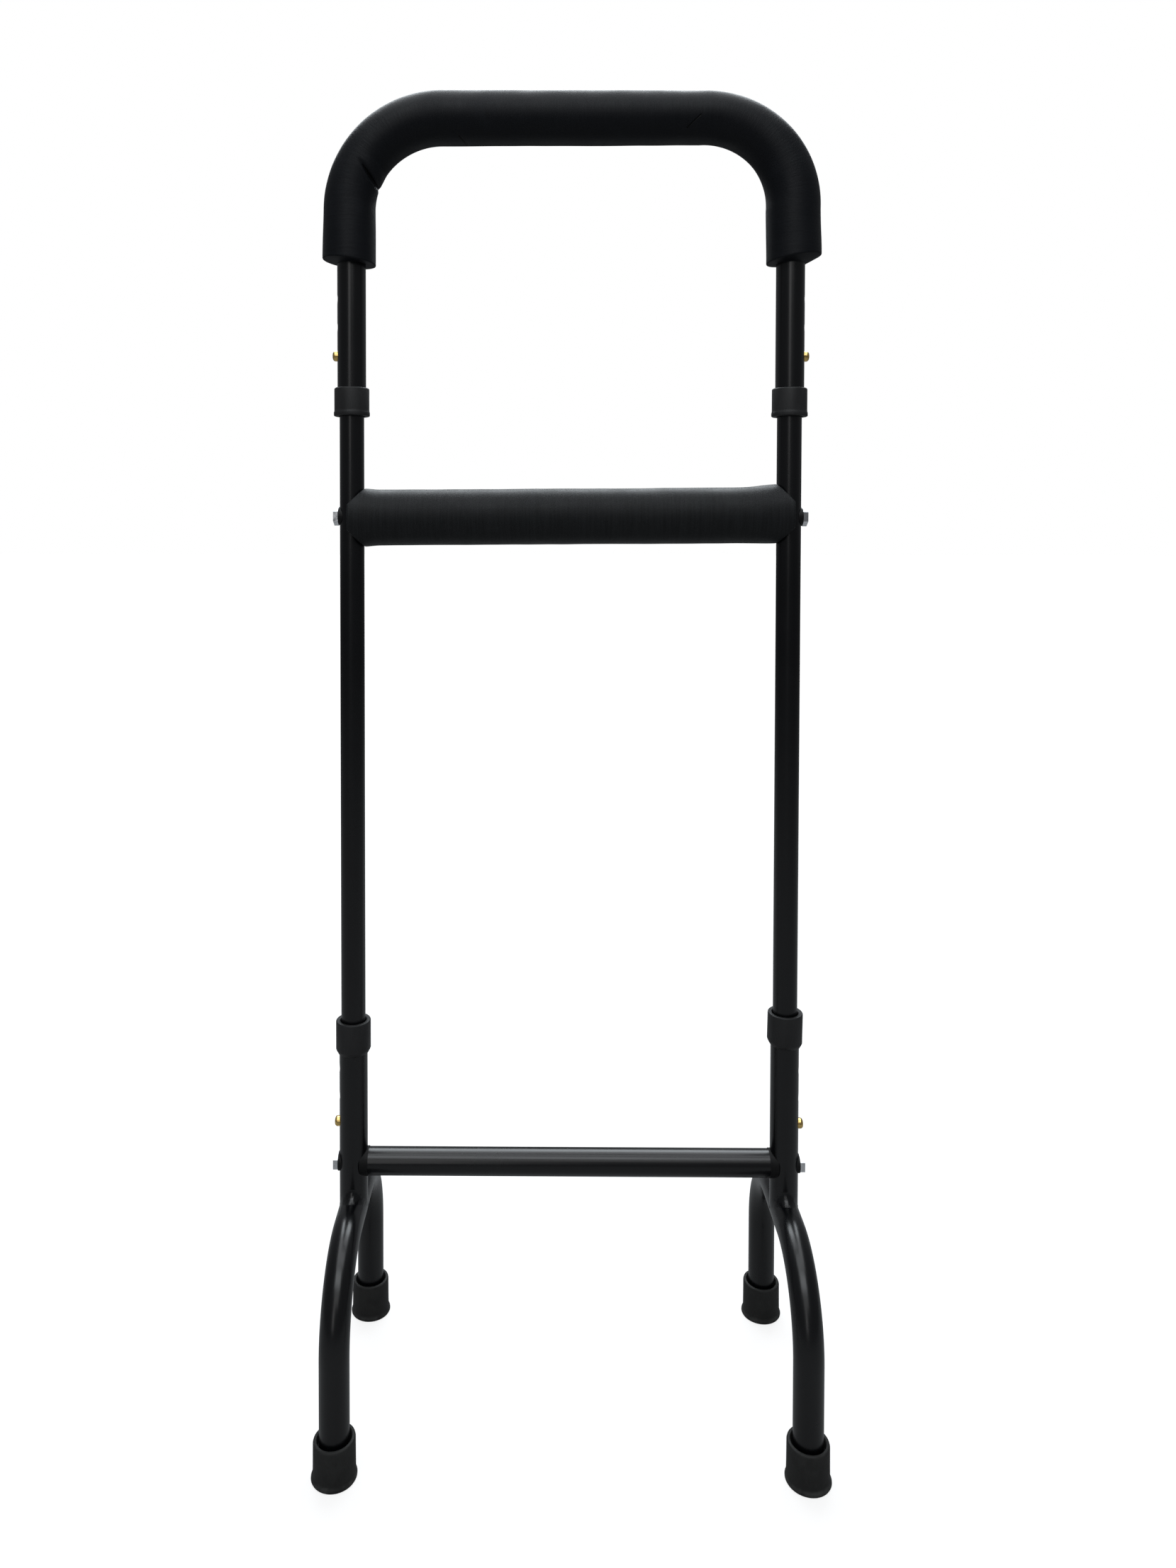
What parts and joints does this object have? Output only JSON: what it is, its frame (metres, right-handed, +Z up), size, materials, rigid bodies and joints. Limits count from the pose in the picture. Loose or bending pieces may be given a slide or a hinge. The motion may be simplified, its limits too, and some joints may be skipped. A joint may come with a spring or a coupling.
{
  "type": "toilet safety frame",
  "caption": "Freestanding grab frame: padded U-shaped handle on telescoping uprights, padded and plain crossbars, arched base legs with rubber feet, and spring-button height locks.",
  "frame": {"origin": "on the floor, midway between the four feet", "axes": "+Z up; +X across the frame to the right as seen from its front; +Y towards its back"},
  "size_m": [0.384, 0.2092, 1.0275],
  "materials": {
    "black_coat": "satin black powder coat",
    "foam": "matte closed-cell foam with a soft skin",
    "foot_rubber": "matte moulded rubber",
    "collar_plastic": "matte moulded plastic",
    "black_plastic": "smooth moulded plastic",
    "black_washer": "black oxide",
    "bolt_zinc": "bright zinc plate",
    "plain_steel": "plain",
    "spring_steel": "tempered",
    "brass": "yellow zinc plate"
  },
  "bodies": {
    "base": {"base_arch_left": "black_coat", "base_arch_right": "black_coat", "base_post_left": "black_coat", "base_post_right": "black_coat", "post_weld_left": "black_coat", "post_weld_right": "black_coat", "lower_crossbar": "black_coat", "lower_threaded_plug_left": "plain_steel", "lower_threaded_plug_right": "plain_steel", "lower_saddle_left": "black_plastic", "lower_saddle_right": "black_plastic", "lower_washer_left": "black_washer", "lower_washer_right": "black_washer", "lower_bolt_left": "bolt_zinc", "lower_bolt_right": "bolt_zinc", "lower_collar_left": "collar_plastic", "lower_collar_right": "collar_plastic", "foot_front_left": "foot_rubber", "foot_front_right": "foot_rubber", "foot_rear_left": "foot_rubber", "foot_rear_right": "foot_rubber", "foot_disc_front_left": "plain_steel", "foot_disc_front_right": "plain_steel", "foot_disc_rear_left": "plain_steel", "foot_disc_rear_right": "plain_steel"},
    "middle_frame": {"upright_left": "black_coat", "upright_right": "black_coat", "upper_crossbar": "black_coat", "crossbar_foam": "foam", "upper_threaded_plug_left": "plain_steel", "upper_threaded_plug_right": "plain_steel", "upper_saddle_left": "black_plastic", "upper_saddle_right": "black_plastic", "upper_washer_left": "black_washer", "upper_washer_right": "black_washer", "upper_bolt_left": "bolt_zinc", "upper_bolt_right": "bolt_zinc", "lower_button_spring_left": "spring_steel", "lower_button_spring_right": "spring_steel", "upper_button_spring_left": "spring_steel", "upper_button_spring_right": "spring_steel"},
    "handle": {"handle_bar": "black_coat", "handle_foam": "foam", "upper_collar_left": "collar_plastic", "upper_collar_right": "collar_plastic"},
    "lower_button_left": {"lower_button_left": "brass"},
    "lower_button_right": {"lower_button_right": "brass"},
    "upper_button_left": {"upper_button_left": "brass"},
    "upper_button_right": {"upper_button_right": "brass"}
  },
  "joints": [
    {"name": "frame_height", "type": "slide", "parent": "base", "child": "middle_frame", "axis": [0, 0, 1], "range_m": [0, 0.044], "deforming": ["lower_button_left", "lower_button_right", "lower_button_spring_left", "lower_button_spring_right"]},
    {"name": "handle_height", "type": "slide", "parent": "middle_frame", "child": "handle", "axis": [0, 0, 1], "range_m": [-0.044, 0], "deforming": ["upper_button_left", "upper_button_right", "upper_button_spring_left", "upper_button_spring_right"]},
    {"name": "press_lower_button_left", "type": "slide", "parent": "middle_frame", "child": "lower_button_left", "axis": [1, 0, 0], "range_m": [0, 0.0055], "stiffness_N_per_m": 1200, "springref_m": -0.003, "deforming": ["lower_button_spring_left"]},
    {"name": "press_lower_button_right", "type": "slide", "parent": "middle_frame", "child": "lower_button_right", "axis": [-1, 0, 0], "range_m": [0, 0.0055], "stiffness_N_per_m": 1200, "springref_m": -0.003, "deforming": ["lower_button_spring_right"]},
    {"name": "press_upper_button_left", "type": "slide", "parent": "middle_frame", "child": "upper_button_left", "axis": [1, 0, 0], "range_m": [0, 0.0055], "stiffness_N_per_m": 1200, "springref_m": -0.003, "deforming": ["upper_button_spring_left"]},
    {"name": "press_upper_button_right", "type": "slide", "parent": "middle_frame", "child": "upper_button_right", "axis": [-1, 0, 0], "range_m": [0, 0.0055], "stiffness_N_per_m": 1200, "springref_m": -0.003, "deforming": ["upper_button_spring_right"]}
  ]
}
